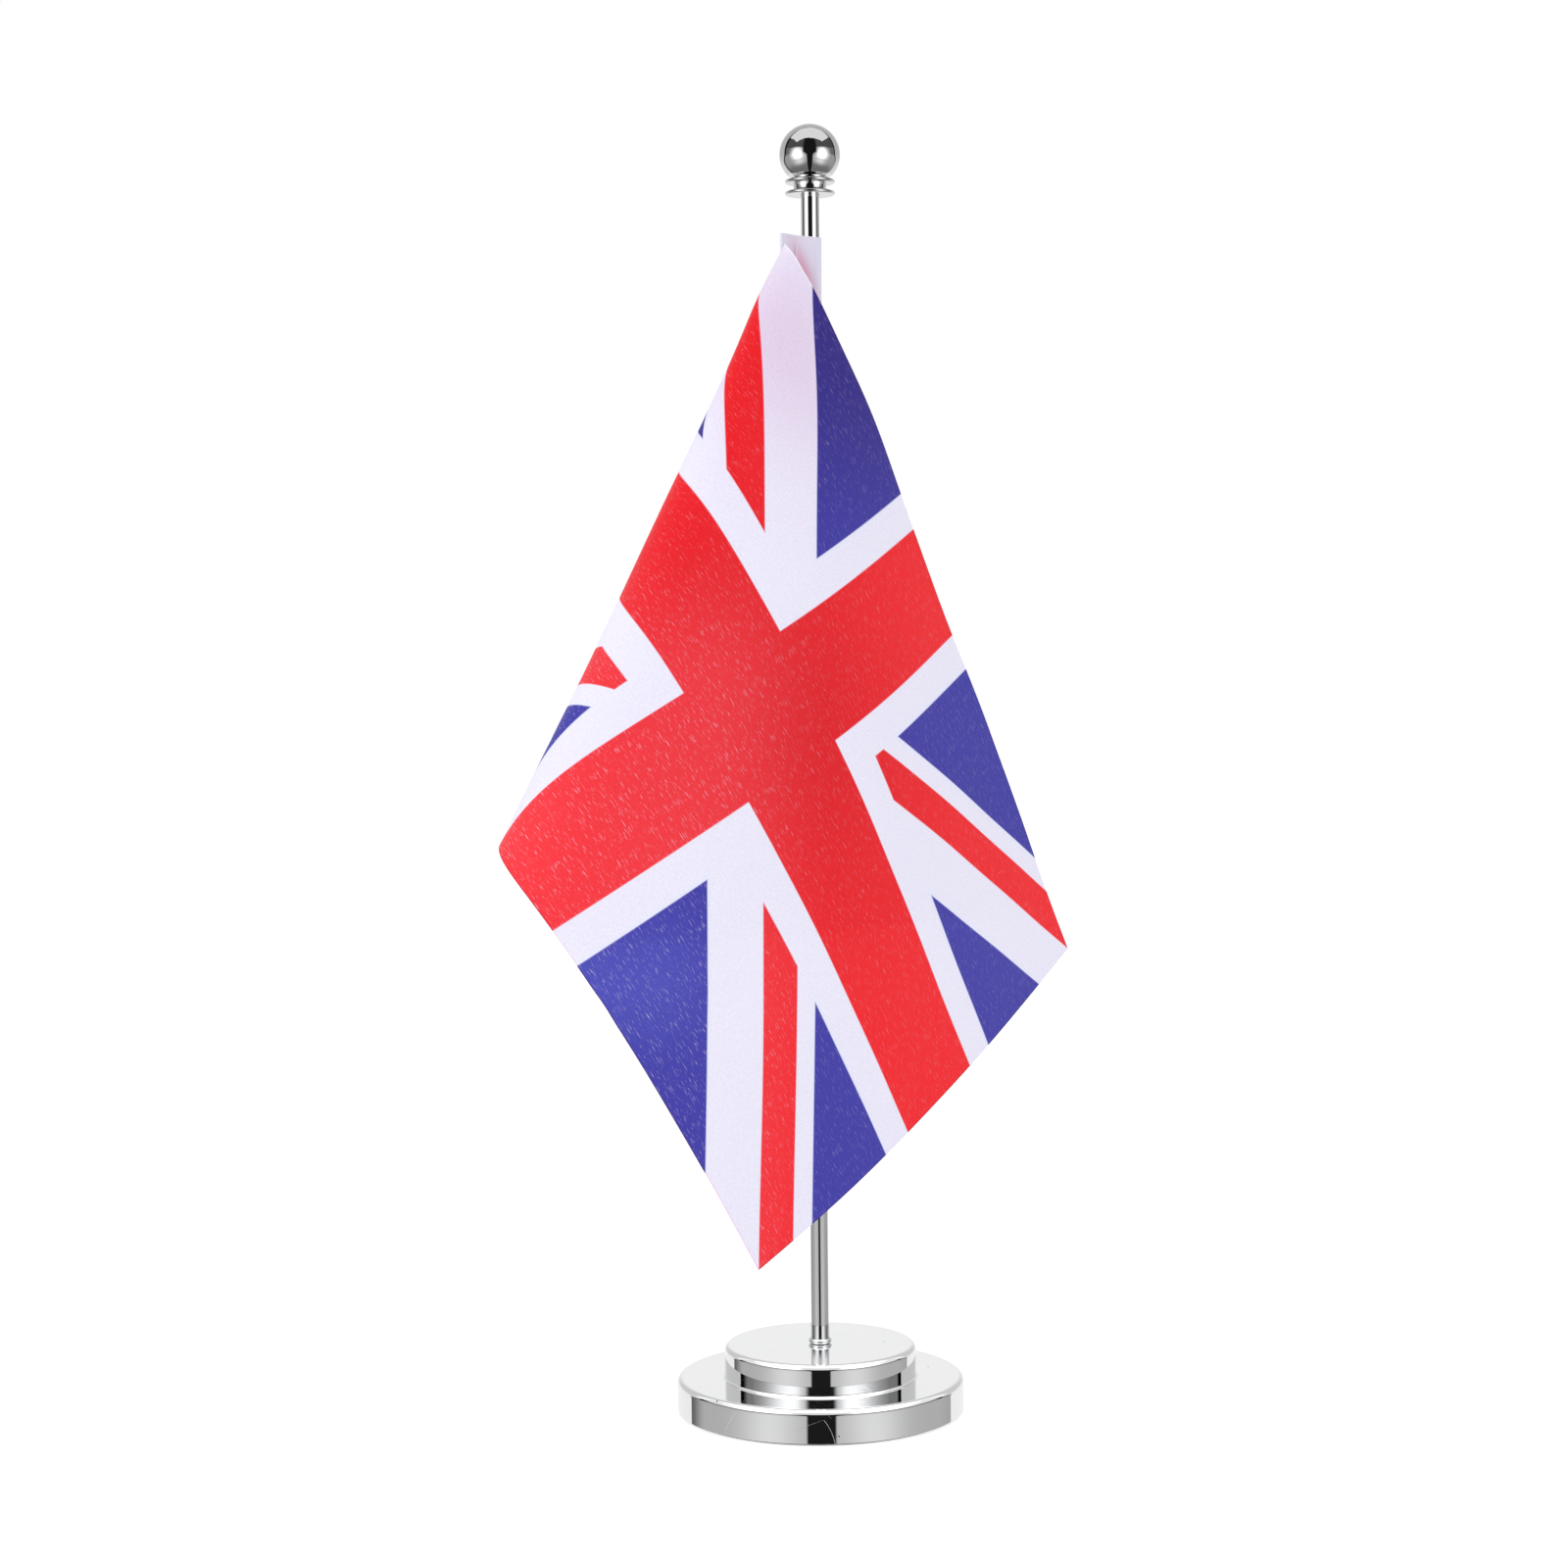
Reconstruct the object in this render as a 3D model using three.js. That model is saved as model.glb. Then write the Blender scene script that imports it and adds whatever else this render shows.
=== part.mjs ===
// Desk flag stand: a two-tier weighted base, a thin screwed-in pole with a ball finial, and a small
// cloth flag whose sleeve turns on the pole. Millimetres, +Z up, origin under the foot pad's centre,
// the viewer's side at -Y.
import * as THREE from "three";

// ---- Driving dimensions ----
const GAP = 0.3; // clear space between parts that touch on the real stand
const SLIP = 0.08; // running clearance of a shaft in its hole
const ROUND_STEPS = 64; // facets round the large turned parts
const SMALL_STEPS = 32; // facets round the small turned parts

const BASE_RADIUS = 35;
const UPPER_RADIUS = 23.4;
const LOWER_TOP = 8.5;
const UPPER_TOP = 16.2;
const COVER_WALL = 0.8;
const EDGE_ROUND = 1.4;
const PAD_THICKNESS = 1.2;
const PLATE_THICKNESS = 0.8;
const SKIRT_LIFT = 0.5; // the lower cover's rim stays this far above the table

const THREAD_RADIUS = 1.5; // both studs, M3
const THREAD_HOLE = THREAD_RADIUS + SLIP;
const BUSH_RADIUS = 3;
const BUSH_FLANGE_RADIUS = 5.7;
const BUSH_FLANGE = 1;
const NUT_FLATS = 10;
const NUT_HEIGHT = 1.9;
const WASHER_THICKNESS = 0.7;

const POLE_RADIUS = 2.2;
const POLE_SOCKET = 1.7; // how far the pole's top enters the lower finial ring
const COLLAR_RADIUS = 2.8;
const COLLAR_HEIGHT = 1;
const COLLAR_SWEEP = 65; // degrees of its round edge above and below the middle
const FOOT_THREAD = 6; // stud length held by the bush
const FOOT_STUD_IN_POLE = 8;
const TOP_THREAD = 5; // stud length held by the pole

const BALL_RADIUS = 7.3;
const BALL_CENTRE = 304.6;
const FLANGE_RADIUS = 6;
const FLANGE_THICKNESS = 0.9;
const FINIAL_HEIGHTS = { ballFlat: -4.9, upperFlange: -6.9, lowerFlange: -9.7 }; // from the ball's centre
const UPPER_NECK_RADIUS = 4.2;
const LOWER_NECK_RADIUS = 4;

const FLAG_LENGTH = 210;
const FLAG_HEIGHT = 140;
const FLAG_TOP = 283.9;
const SLEEVE_COVERS = 11.5; // the sleeve takes this much of the flag's length
const CLOTH_LENGTH = FLAG_LENGTH - SLEEVE_COVERS;
const CLOTH_THICKNESS = 0.4;
const SLEEVE_REACH = 10.1; // from the pole's axis to the line where the cloth leaves the sleeve
const SLEEVE_DIRECTION = 228; // degrees from +X, the way the flattened sleeve points
const SLEEVE_RADIUS = 2.7;
const SEAM_DISTANCE = 5.4; // from the pole's axis to the row of stitches
const STITCH_WIDTH = 0.4;
const STOP_RADIUS = 3.8;
const STOP_HEIGHT = 3;

// ---- How the cloth hangs ----
// Every straight line in the hanging cloth points back to one apex above the top corner. The angles are
// in the plane of the flat cloth, in degrees at that apex, counted from the hoist edge.
const DRAPE = {
  apexRise: 27.8, // the apex is this far above the flag's top edge
  apexBack: 15.6, // and this far behind the seam, past the sleeve
  heading: -156.8, // the way the cloth sets off from the sleeve, from +X
  foldAngle: 29.8,
  foldWidth: 5.7,
  foldTurn: -157,
  frontBend: [-1.75, 0.92, 1.57], // bend of the front panel: constant, linear and square terms
};

const degrees = THREE.MathUtils.degToRad;
const group = new THREE.Group();

const FINISHES = {
  chrome: { color: 0xd9dbde, metalness: 1, roughness: 0.06 },
  steel: { color: 0x8d9196, metalness: 1, roughness: 0.4 },
  brass: { color: 0xb99b55, metalness: 1, roughness: 0.35 },
  rubber: { color: 0x242426, metalness: 0, roughness: 0.85 },
  foam: { color: 0x2c2d30, metalness: 0, roughness: 0.95 },
  cloth: { color: 0xe6e0f2, metalness: 0, roughness: 0.75 },
  thread: { color: 0xf1eef6, metalness: 0, roughness: 0.8 },
};

function addPart(name, geometry, finish) {
  const mesh = new THREE.Mesh(geometry, new THREE.MeshStandardMaterial(FINISHES[finish]));
  mesh.name = name;
  group.add(mesh);
  return mesh;
}

// ---- Turned shapes ----
const point = (radius, height) => new THREE.Vector2(radius, height);

// Points along a circular arc in the radius-height plane, angles in degrees.
function arc(centreRadius, centreHeight, radius, from, to, steps = 5) {
  return Array.from({ length: steps + 1 }, (_, i) => {
    const angle = degrees(from + ((to - from) * i) / steps);
    return point(centreRadius + radius * Math.cos(angle), centreHeight + radius * Math.sin(angle));
  });
}

// Solid of revolution about Z. The profile runs up the outside; a ring's profile closes on itself.
function turned(profile, steps = ROUND_STEPS) {
  return new THREE.LatheGeometry(profile, steps).rotateX(Math.PI / 2);
}

function disc(radius, bottom, top, steps) {
  return turned([point(0, bottom), point(radius, bottom), point(radius, top), point(0, top)], steps);
}

function ring(inner, outer, bottom, top, steps) {
  const corners = [point(inner, bottom), point(outer, bottom), point(outer, top), point(inner, top)];
  return turned([...corners, corners[0]], steps);
}

// A pressed cup, open below, with a round shoulder and a hole in its top.
function coverShell(radius, bottom, top, hole) {
  const inner = radius - COVER_WALL;
  const ceiling = top - COVER_WALL;
  const outside = arc(radius - EDGE_ROUND, top - EDGE_ROUND, EDGE_ROUND, 0, 90);
  const start = point(inner, bottom);
  return turned([
    start,
    point(radius, bottom),
    ...outside,
    point(hole, top),
    point(hole, ceiling),
    point(inner, ceiling),
    start,
  ]);
}

// ---- Base ----
const padRadius = BASE_RADIUS - COVER_WALL - GAP;
const plateBottom = PAD_THICKNESS + GAP;
const weightBottom = plateBottom + PLATE_THICKNESS + GAP;
const lowerCeiling = LOWER_TOP - COVER_WALL;
const upperBottom = LOWER_TOP + GAP;
const upperCeiling = UPPER_TOP - COVER_WALL;
const bushTop = upperCeiling - GAP;
const bushHole = BUSH_RADIUS + SLIP;

function addBase() {
  addPart("foot_pad", disc(padRadius, 0, PAD_THICKNESS), "foam");
  addPart("bottom_plate", disc(padRadius, plateBottom, plateBottom + PLATE_THICKNESS), "steel");
  addPart("base_cover_lower", coverShell(BASE_RADIUS, SKIRT_LIFT, LOWER_TOP, bushHole), "chrome");
  addPart(
    "base_cover_upper",
    coverShell(UPPER_RADIUS, upperBottom, UPPER_TOP, THREAD_HOLE + SLIP),
    "chrome",
  );
  addLowerWeight();
  addUpperWeight();
  addBushAndNut();
}

const nutBottom = weightBottom + GAP;
const washerBottom = nutBottom + NUT_HEIGHT + GAP;
const nutRecessTop = washerBottom + WASHER_THICKNESS + GAP;
const nutRecessRadius = NUT_FLATS / 2 / Math.cos(Math.PI / 6) + 2 * GAP;

function addLowerWeight() {
  const corners = [
    point(nutRecessRadius, weightBottom),
    point(padRadius, weightBottom),
    point(padRadius, lowerCeiling - GAP),
    point(bushHole, lowerCeiling - GAP),
    point(bushHole, nutRecessTop),
    point(nutRecessRadius, nutRecessTop),
  ];
  addPart("base_weight_lower", turned([...corners, corners[0]]), "steel");
}

function addUpperWeight() {
  const outer = UPPER_RADIUS - COVER_WALL - GAP;
  const recess = bushTop - BUSH_FLANGE - GAP;
  const corners = [
    point(bushHole, upperBottom + GAP),
    point(outer, upperBottom + GAP),
    point(outer, bushTop),
    point(BUSH_FLANGE_RADIUS + GAP, bushTop),
    point(BUSH_FLANGE_RADIUS + GAP, recess),
    point(bushHole, recess),
  ];
  addPart("base_weight_upper", turned([...corners, corners[0]]), "steel");
}

function addBushAndNut() {
  const corners = [
    point(THREAD_HOLE, nutBottom),
    point(BUSH_RADIUS, nutBottom),
    point(BUSH_RADIUS, bushTop - BUSH_FLANGE),
    point(BUSH_FLANGE_RADIUS, bushTop - BUSH_FLANGE),
    point(BUSH_FLANGE_RADIUS, bushTop),
    point(THREAD_HOLE, bushTop),
  ];
  addPart("base_bush", turned([...corners, corners[0]], SMALL_STEPS), "brass");

  const washerTop = washerBottom + WASHER_THICKNESS;
  const washer = ring(bushHole, NUT_FLATS / 2 + GAP, washerBottom, washerTop, SMALL_STEPS);
  addPart("base_washer", washer, "steel");

  const hexagon = new THREE.Shape();
  const cornerRadius = NUT_FLATS / 2 / Math.cos(Math.PI / 6);
  for (let i = 0; i < 6; i++) {
    const angle = (i * Math.PI) / 3;
    hexagon[i ? "lineTo" : "moveTo"](cornerRadius * Math.cos(angle), cornerRadius * Math.sin(angle));
  }
  hexagon.closePath();
  hexagon.holes.push(new THREE.Path().absarc(0, 0, bushHole, 0, 2 * Math.PI, true));
  const nut = new THREE.ExtrudeGeometry(hexagon, {
    depth: NUT_HEIGHT,
    bevelEnabled: false,
    curveSegments: SMALL_STEPS / 2,
  });
  addPart("base_nut", nut.translate(0, 0, nutBottom), "steel");
}

// ---- Pole ----
const poleBottom = UPPER_TOP + GAP;
const poleTop = BALL_CENTRE + FINIAL_HEIGHTS.lowerFlange + POLE_SOCKET;

function addPole() {
  addPart("pole_tube", ring(THREAD_HOLE, POLE_RADIUS, poleBottom, poleTop, SMALL_STEPS), "chrome");
  const collarTop = poleBottom + COLLAR_HEIGHT;
  const belly = COLLAR_HEIGHT / 2;
  const profile = [
    point(POLE_RADIUS + SLIP, poleBottom),
    ...arc(COLLAR_RADIUS - belly, poleBottom + belly, belly, -COLLAR_SWEEP, COLLAR_SWEEP, 6),
    point(POLE_RADIUS + SLIP, collarTop),
  ];
  addPart("pole_collar", turned([...profile, profile[0]], SMALL_STEPS), "chrome");
  const stud = disc(THREAD_RADIUS, bushTop - FOOT_THREAD, poleBottom + FOOT_STUD_IN_POLE, SMALL_STEPS);
  addPart("pole_foot_stud", stud, "steel");
}

// ---- Finial ----
function addFinial() {
  addBall();
  addUpperRing();
  addLowerRing();
  const stud = disc(THREAD_RADIUS, poleTop - TOP_THREAD, BALL_CENTRE, SMALL_STEPS);
  addPart("finial_stud", stud, "steel");
}

function addBall() {
  const flat = FINIAL_HEIGHTS.ballFlat;
  const flatAngle = THREE.MathUtils.radToDeg(Math.asin(flat / BALL_RADIUS));
  const holeTop = BALL_CENTRE + GAP;
  const profile = [
    point(THREAD_HOLE, BALL_CENTRE + flat),
    ...arc(0, BALL_CENTRE, BALL_RADIUS, flatAngle, 90, 18),
  ];
  profile[profile.length - 1].x = 0;
  addPart(
    "finial_ball",
    turned([point(0, holeTop), point(THREAD_HOLE, holeTop), ...profile], SMALL_STEPS),
    "chrome",
  );
}

// The rim of a thin flange, from its underside to its top, as a half-round edge.
function flangeRim(radius, bottom, thickness) {
  const half = thickness / 2;
  return arc(radius - half, bottom + half, half, -90, 90, 6);
}

function addUpperRing() {
  const flangeBottom = BALL_CENTRE + FINIAL_HEIGHTS.upperFlange;
  const top = BALL_CENTRE + FINIAL_HEIGHTS.ballFlat - GAP;
  const profile = [
    point(THREAD_HOLE, flangeBottom),
    ...flangeRim(FLANGE_RADIUS, flangeBottom, FLANGE_THICKNESS),
    point(UPPER_NECK_RADIUS, flangeBottom + FLANGE_THICKNESS),
    point(UPPER_NECK_RADIUS, top),
    point(THREAD_HOLE, top),
  ];
  addPart("finial_upper_ring", turned([...profile, profile[0]], SMALL_STEPS), "chrome");
}

function addLowerRing() {
  const bottom = BALL_CENTRE + FINIAL_HEIGHTS.lowerFlange;
  const top = BALL_CENTRE + FINIAL_HEIGHTS.upperFlange - GAP;
  const socketTop = poleTop + GAP;
  const profile = [
    point(POLE_RADIUS + SLIP, bottom),
    ...flangeRim(FLANGE_RADIUS, bottom, FLANGE_THICKNESS),
    point(LOWER_NECK_RADIUS, bottom + FLANGE_THICKNESS),
    point(LOWER_NECK_RADIUS, top),
    point(THREAD_HOLE, top),
    point(THREAD_HOLE, socketTop),
    point(POLE_RADIUS + SLIP, socketTop),
  ];
  addPart("finial_lower_ring", turned([...profile, profile[0]], SMALL_STEPS), "chrome");
}

// ---- Flag ----
const flagBottom = FLAG_TOP - FLAG_HEIGHT;

// A section of the sleeve or its stitches, drawn with +X away from the pole, raised to its place.
function alongSleeve(shape, bottom, top) {
  const solid = new THREE.ExtrudeGeometry(shape, {
    depth: top - bottom,
    bevelEnabled: false,
    curveSegments: 20,
  });
  return solid.rotateZ(degrees(SLEEVE_DIRECTION)).translate(0, 0, bottom);
}

function addSleeve() {
  const layer = CLOTH_THICKNESS;
  const tip = SLEEVE_REACH - GAP - CLOTH_THICKNESS / 2;
  const leave = Math.acos(SLEEVE_RADIUS / SEAM_DISTANCE);
  const outline = new THREE.Shape();
  outline.moveTo(tip, -layer);
  outline.lineTo(tip, layer);
  outline.lineTo(SEAM_DISTANCE - layer, layer);
  outline.absarc(0, 0, SLEEVE_RADIUS, leave, 2 * Math.PI - leave, false);
  outline.lineTo(SEAM_DISTANCE - layer, -layer);
  outline.closePath();
  const pocket = new THREE.Path();
  const pocketRadius = SLEEVE_RADIUS - layer;
  pocket.moveTo(SEAM_DISTANCE - 3 * layer, 0);
  pocket.lineTo(pocketRadius * Math.cos(leave), -pocketRadius * Math.sin(leave));
  pocket.absarc(0, 0, pocketRadius, 2 * Math.PI - leave, leave, true);
  pocket.closePath();
  outline.holes.push(pocket);
  addPart("flag_sleeve", alongSleeve(outline, flagBottom, FLAG_TOP), "cloth");

  const stitches = new THREE.Shape();
  const face = layer + SLIP;
  stitches.moveTo(SEAM_DISTANCE, face);
  stitches.lineTo(SEAM_DISTANCE + STITCH_WIDTH, face);
  stitches.lineTo(SEAM_DISTANCE + STITCH_WIDTH, face + STITCH_WIDTH / 2);
  stitches.lineTo(SEAM_DISTANCE, face + STITCH_WIDTH / 2);
  stitches.closePath();
  const thread = alongSleeve(stitches, flagBottom + 1, FLAG_TOP - 1);
  addPart("sleeve_stitching", thread, "thread");
}

// Bend of the cloth across its straight lines, at one angle in degrees: turn per unit of angle.
function bendAt(angle) {
  const { foldAngle, foldWidth, foldTurn, frontBend } = DRAPE;
  const fromFold = (angle - foldAngle) / foldWidth;
  const peak = degrees(foldTurn) / (degrees(foldWidth) * Math.sqrt(Math.PI));
  const onFront = 1 / (1 + Math.exp(-2 * fromFold));
  const along = Math.min(Math.max((angle - foldAngle) / (90 - foldAngle), 0), 1);
  const front = frontBend[0] + frontBend[1] * along + frontBend[2] * along * along;
  return peak * Math.exp(-fromFold * fromFold) + onFront * front;
}

// The straight lines of the hanging cloth at the given angles: each one's direction and the cloth's
// normal, found by turning a frame in small steps from the hoist edge, which hangs straight down.
function straightLines(angles) {
  const step = degrees(0.1);
  const heading = degrees(DRAPE.heading);
  const direction = new THREE.Vector3(0, 0, -1);
  const across = new THREE.Vector3(Math.cos(heading), Math.sin(heading), 0);
  const normal = direction.clone().cross(across);
  const lines = [];
  let angle = 0;
  for (const target of angles) {
    while (angle < degrees(target) - 1e-9) {
      const advance = Math.min(step, degrees(target) - angle);
      const bend = bendAt(THREE.MathUtils.radToDeg(angle + advance / 2));
      const axis = direction.clone().multiplyScalar(bend).add(normal);
      const turn = axis.length() * advance;
      axis.normalize();
      for (const vector of [direction, across, normal]) vector.applyAxisAngle(axis, turn);
      angle += advance;
    }
    lines.push({ angle: degrees(target), direction: direction.clone(), normal: normal.clone() });
  }
  return lines;
}

// A closed sheet from a grid of points, each with a normal, given half its thickness each way.
function sheet(rows, half) {
  const columns = rows[0].length;
  const positions = [];
  for (const side of [1, -1])
    for (const row of rows)
      for (const { at, normal } of row) positions.push(...at.clone().addScaledVector(normal, side * half));
  const index = (side, row, column) => (side * rows.length + row) * columns + column;
  const triangles = [];
  const quad = (a, b, c, d) => triangles.push(a, b, c, a, c, d);
  for (let r = 0; r + 1 < rows.length; r++)
    for (let c = 0; c + 1 < columns; c++) {
      quad(index(0, r, c), index(0, r, c + 1), index(0, r + 1, c + 1), index(0, r + 1, c));
      quad(index(1, r, c), index(1, r + 1, c), index(1, r + 1, c + 1), index(1, r, c + 1));
    }
  const last = columns - 1;
  for (let r = 0; r + 1 < rows.length; r++) {
    quad(index(0, r, 0), index(0, r + 1, 0), index(1, r + 1, 0), index(1, r, 0));
    quad(index(0, r + 1, last), index(0, r, last), index(1, r, last), index(1, r + 1, last));
  }
  const end = rows.length - 1;
  for (let c = 0; c + 1 < columns; c++) {
    quad(index(0, 0, c + 1), index(0, 0, c), index(1, 0, c), index(1, 0, c + 1));
    quad(index(0, end, c), index(0, end, c + 1), index(1, end, c + 1), index(1, end, c));
  }
  const geometry = new THREE.BufferGeometry();
  geometry.setAttribute("position", new THREE.Float32BufferAttribute(positions, 3));
  geometry.setIndex(triangles);
  return geometry;
}

// Angles of the straight lines: close together over the fold, and wider apart on the front panel.
function drapeAngles() {
  const { apexRise, apexBack } = DRAPE;
  const angleTo = (u, v) => THREE.MathUtils.radToDeg(Math.atan2(u + apexBack, v + apexRise));
  const angles = [];
  const last = angleTo(CLOTH_LENGTH - 1, 0);
  for (let angle = angleTo(0, FLAG_HEIGHT - 1); angle < last - 0.5; angle += angle < 60 ? 1.5 : 2.5)
    angles.push(angle);
  angles.push(angleTo(0, 0), angleTo(CLOTH_LENGTH, FLAG_HEIGHT), last);
  return angles.sort((a, b) => a - b);
}

// Where one straight line enters and leaves the flat cloth, as distances from the apex.
function spanOnCloth(angle) {
  const { apexRise, apexBack } = DRAPE;
  const topEdge = apexRise / Math.cos(angle);
  const hoistEdge = apexBack / Math.sin(angle);
  const bottomEdge = (FLAG_HEIGHT + apexRise) / Math.cos(angle);
  const flyEdge = (CLOTH_LENGTH + apexBack) / Math.sin(angle);
  return [Math.max(topEdge, hoistEdge), Math.min(bottomEdge, flyEdge)];
}

function addCloth() {
  const { apexRise, apexBack } = DRAPE;
  const seam = degrees(SLEEVE_DIRECTION);
  const heading = degrees(DRAPE.heading);
  const apex = new THREE.Vector3(
    SLEEVE_REACH * Math.cos(seam) - apexBack * Math.cos(heading),
    SLEEVE_REACH * Math.sin(seam) - apexBack * Math.sin(heading),
    FLAG_TOP + apexRise,
  );
  const rows = straightLines(drapeAngles()).map(({ angle, direction, normal }) =>
    spanOnCloth(angle).map((length) => ({ at: apex.clone().addScaledVector(direction, length), normal })),
  );
  addPart("flag_cloth", sheet(rows, CLOTH_THICKNESS / 2), "cloth");
}

function addStopRing() {
  const top = flagBottom - GAP;
  const stop = ring(POLE_RADIUS + SLIP, STOP_RADIUS, top - STOP_HEIGHT, top, SMALL_STEPS);
  addPart("stop_ring", stop, "rubber");
}

addBase();
addPole();
addFinial();
addStopRing();
addSleeve();
addCloth();

export default group;
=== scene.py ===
"""Desk flag stand: the looks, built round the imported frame.

Metres in the scene, +Z up, origin under the foot pad, the viewer's side at -Y. Profiles and the flat
cloth are worked out in millimetres and scaled when their meshes are made.
"""

import math

import bmesh
import bpy
import numpy as np
from mathutils import Matrix, Vector


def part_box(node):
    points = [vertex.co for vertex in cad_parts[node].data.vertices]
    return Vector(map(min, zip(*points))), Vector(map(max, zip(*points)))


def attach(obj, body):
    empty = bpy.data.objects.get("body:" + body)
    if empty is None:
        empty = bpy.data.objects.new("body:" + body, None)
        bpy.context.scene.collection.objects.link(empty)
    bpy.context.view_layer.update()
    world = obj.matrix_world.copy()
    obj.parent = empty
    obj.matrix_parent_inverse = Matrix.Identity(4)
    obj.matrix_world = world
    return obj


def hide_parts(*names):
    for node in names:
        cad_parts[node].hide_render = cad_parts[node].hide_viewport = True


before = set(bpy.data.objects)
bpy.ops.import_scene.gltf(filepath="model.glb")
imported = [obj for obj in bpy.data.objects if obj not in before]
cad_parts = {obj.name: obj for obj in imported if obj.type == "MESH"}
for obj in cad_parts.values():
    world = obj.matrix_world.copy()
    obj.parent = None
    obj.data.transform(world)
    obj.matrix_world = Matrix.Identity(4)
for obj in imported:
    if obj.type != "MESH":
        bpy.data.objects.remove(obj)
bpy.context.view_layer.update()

MM = 0.001
GAP = 0.3  # between touching parts, as in the frame
TOUCH = 0.02  # left between faces that are drawn right up to each other
SLIP = 0.08  # round a pole or stud in its hole
TURNED_STEPS = 192
SLIM_STEPS = 96  # for the pole and what sits close round it
COVER_STEPS = 288
CREASE = 35  # degrees, edges sharper than this stay sharp
THREAD_RADIUS = 1.5
THREAD_PITCH = 0.5


# ---- Sizes taken from the frame, in millimetres ----
def low(node_name):
    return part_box(node_name)[0].z / MM


def high(node_name):
    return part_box(node_name)[1].z / MM


def radius(node_name):
    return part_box(node_name)[1].x / MM


def span(node_name):
    """Radius, bottom and top of a round CAD node."""
    return radius(node_name), low(node_name), high(node_name)


# ---- Meshes ----
def link(name, mesh, material, body, node_name):
    """A piece that rides on a body and stands for a CAD node."""
    piece = bpy.data.objects.new(name, mesh)
    bpy.context.scene.collection.objects.link(piece)
    piece.data.materials.append(material)
    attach(piece, body)
    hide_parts(node_name)
    return piece


def arc(centre_radius, centre_height, size, start, end, steps):
    """Points (radius, height) along an arc, angles in degrees."""
    angles = np.radians(np.linspace(start, end, steps + 1))
    return [(centre_radius + size * math.cos(a), centre_height + size * math.sin(a)) for a in angles]


def ring(work, size, height, steps):
    """New vertices round the axis, from a radius and a height in millimetres."""
    angles = (2 * math.pi * i / steps for i in range(steps))
    return [work.verts.new((size * math.cos(a) * MM, size * math.sin(a) * MM, height * MM)) for a in angles]


def band(work, lower, upper, flip=False):
    """Faces between two rings of the same count, three-sided where a ring is one point on the axis."""
    for i in range(len(lower)):
        j = (i + 1) % len(lower)
        corners = list(dict.fromkeys((lower[i], lower[j], upper[j], upper[i])))
        work.faces.new(corners[::-1] if flip else corners)


def tube(work, rows):
    """Faces along a stack of rings, and one face over each end."""
    for lower, upper in zip(rows, rows[1:]):
        band(work, lower, upper)
    work.faces.new(rows[0][::-1])
    work.faces.new(rows[-1])


SUPPORT_INSET = 0.08


def with_support(profile, closed):
    """The profile with a point close to both ends of each long straight stretch, so that a flat face
    stays flat in reflections beside a rounded edge."""
    count = len(profile)
    dense = []
    for i, start in enumerate(profile):
        dense.append(start)
        if i + 1 == count and not closed:
            break
        end = profile[(i + 1) % count]
        length = math.dist(start, end)
        if length > 4 * SUPPORT_INSET:
            for share in (SUPPORT_INSET / length, 1 - SUPPORT_INSET / length):
                dense.append(tuple(s + (e - s) * share for s, e in zip(start, end)))
    return dense


def turned(name, profile, closed=True, steps=TURNED_STEPS):
    """A mesh turned about Z from points (radius, height) in millimetres. The profile runs up the
    outside. An open profile starts and ends on the axis."""
    profile = with_support(profile, closed)
    if closed:
        profile = profile + [profile[0]]
    work = bmesh.new()
    rows = []
    for r, z in profile:
        on_axis = r < 1e-6
        rows.append([work.verts.new((0, 0, z * MM))] * steps if on_axis else ring(work, r, z, steps))
    if closed:
        for vert in rows[-1]:
            work.verts.remove(vert)
        rows[-1] = rows[0]
    for lower, upper in zip(rows, rows[1:]):
        band(work, lower, upper)
    return finished(name, work)


def finished(name, work, crease=CREASE):
    """A smooth-shaded mesh from a bmesh, with edges sharper than crease degrees kept sharp."""
    mesh = bpy.data.meshes.new(name)
    work.to_mesh(mesh)
    work.free()
    mesh.shade_smooth()
    mesh.set_sharp_from_angle(angle=math.radians(crease))
    return mesh


# ---- Node arithmetic ----
class Value:
    """A number worked out by shader nodes, written like ordinary arithmetic."""

    def __init__(self, tree, socket):
        self.tree = tree
        self.socket = socket

    def maths(self, operation, *others):
        node = self.tree.nodes.new("ShaderNodeMath")
        node.operation = operation
        for entry, value in zip(node.inputs, (self, *others)):
            if isinstance(value, Value):
                self.tree.links.new(value.socket, entry)
            else:
                entry.default_value = value
        return Value(self.tree, node.outputs[0])

    def __add__(self, other):
        return self.maths("ADD", other)

    __radd__ = __add__

    def __sub__(self, other):
        return self.maths("SUBTRACT", other)

    def __rsub__(self, other):
        return (self * -1).maths("ADD", other)

    def __mul__(self, other):
        return self.maths("MULTIPLY", other)

    __rmul__ = __mul__

    def __truediv__(self, other):
        return self.maths("DIVIDE", other)

    def __neg__(self):
        return self * -1

    def __abs__(self):
        return self.maths("ABSOLUTE")

    def least(self, other):
        return self.maths("MINIMUM", other)

    def most(self, other):
        return self.maths("MAXIMUM", other)

    def step(self, start, end):
        """0 below start and 1 above end, smooth between them."""
        node = self.tree.nodes.new("ShaderNodeMapRange")
        node.interpolation_type = "SMOOTHSTEP"
        self.tree.links.new(self.socket, node.inputs["Value"])
        for name, value in (("From Min", start), ("From Max", end)):
            if isinstance(value, Value):
                self.tree.links.new(value.socket, node.inputs[name])
            else:
                node.inputs[name].default_value = value
        return Value(self.tree, node.outputs["Result"])

    def bump(self, centre, width):
        """1 at centre, falling to 0 as a bell curve of that width."""
        offset = (self - centre) / width
        return (-(offset * offset)).maths("EXPONENT")


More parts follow.
